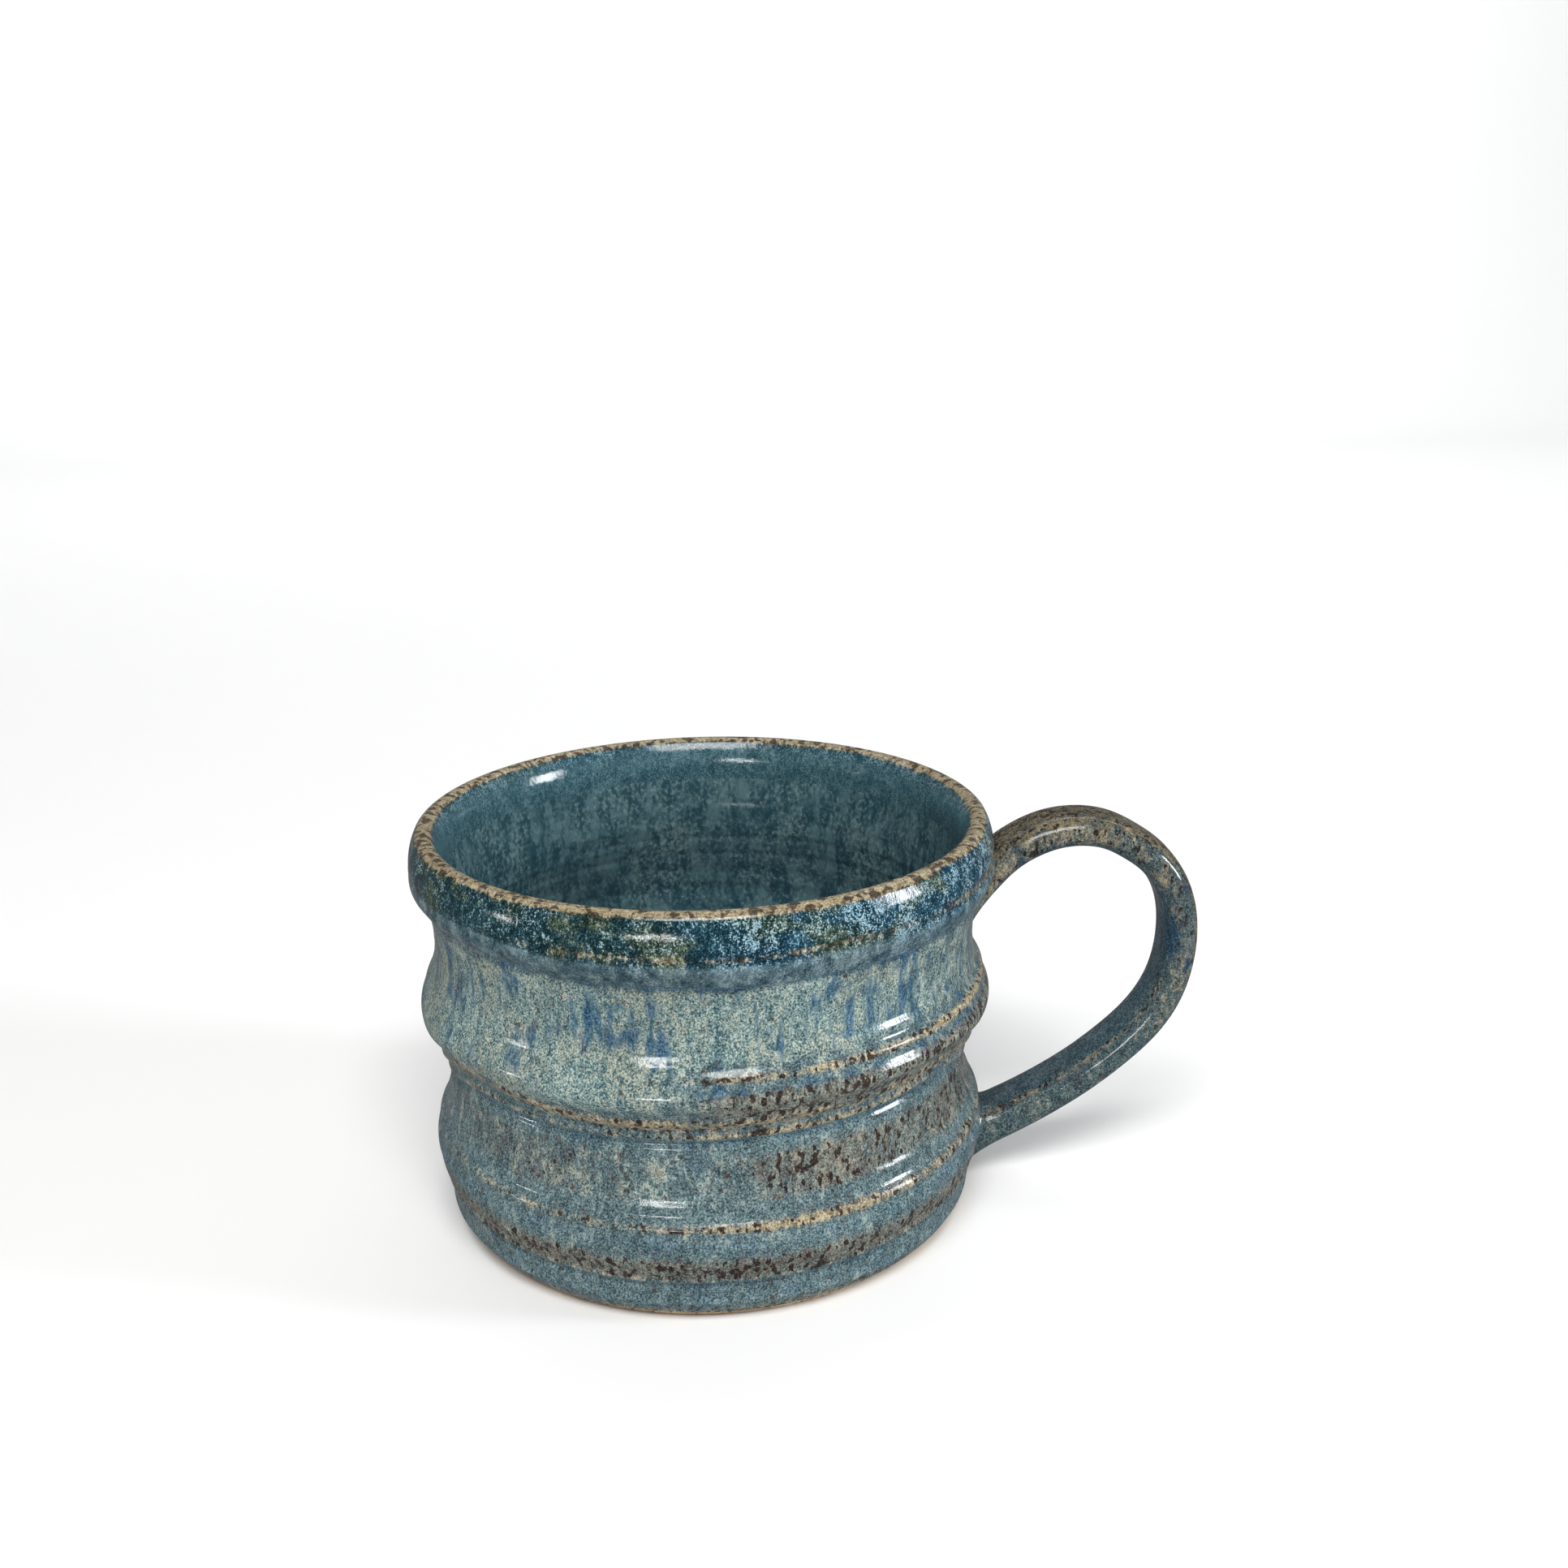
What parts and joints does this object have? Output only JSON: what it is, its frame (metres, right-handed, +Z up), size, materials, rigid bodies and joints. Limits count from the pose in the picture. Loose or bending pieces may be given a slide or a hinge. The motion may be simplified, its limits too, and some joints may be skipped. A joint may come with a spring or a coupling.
{
  "type": "ceramic mug",
  "caption": "Wide wheel-thrown stoneware mug with wavy throwing ridges, a rolled rim, a bevelled bare foot, a pulled strap handle and mottled blue glaze.",
  "frame": {"origin": "centre of the foot, on the surface the mug stands on", "axes": "+Z up along the cup's axis, +X towards the handle"},
  "size_m": [0.148, 0.108, 0.0762],
  "materials": {
    "speckled_clay": "bare fired stoneware, tan with dark iron specks, dry",
    "mottled_blue_glaze": "glossy mottled blue-grey, breaking to tan with brown specks on ridges and edges",
    "teal_liner_glaze": "glossy smooth teal blue",
    "dark_teal_rim_glaze": "glossy dark teal second dip, tan and brown along the lip"
  },
  "bodies": {
    "root": {"thrown_cup": "speckled_clay", "handle_strap": "speckled_clay", "upper_joint_wad": "speckled_clay", "lower_joint_pad": "speckled_clay", "outer_glaze": "mottled_blue_glaze", "liner_glaze": "teal_liner_glaze", "rim_glaze": "dark_teal_rim_glaze", "handle_glaze": "mottled_blue_glaze"}
  },
  "joints": []
}
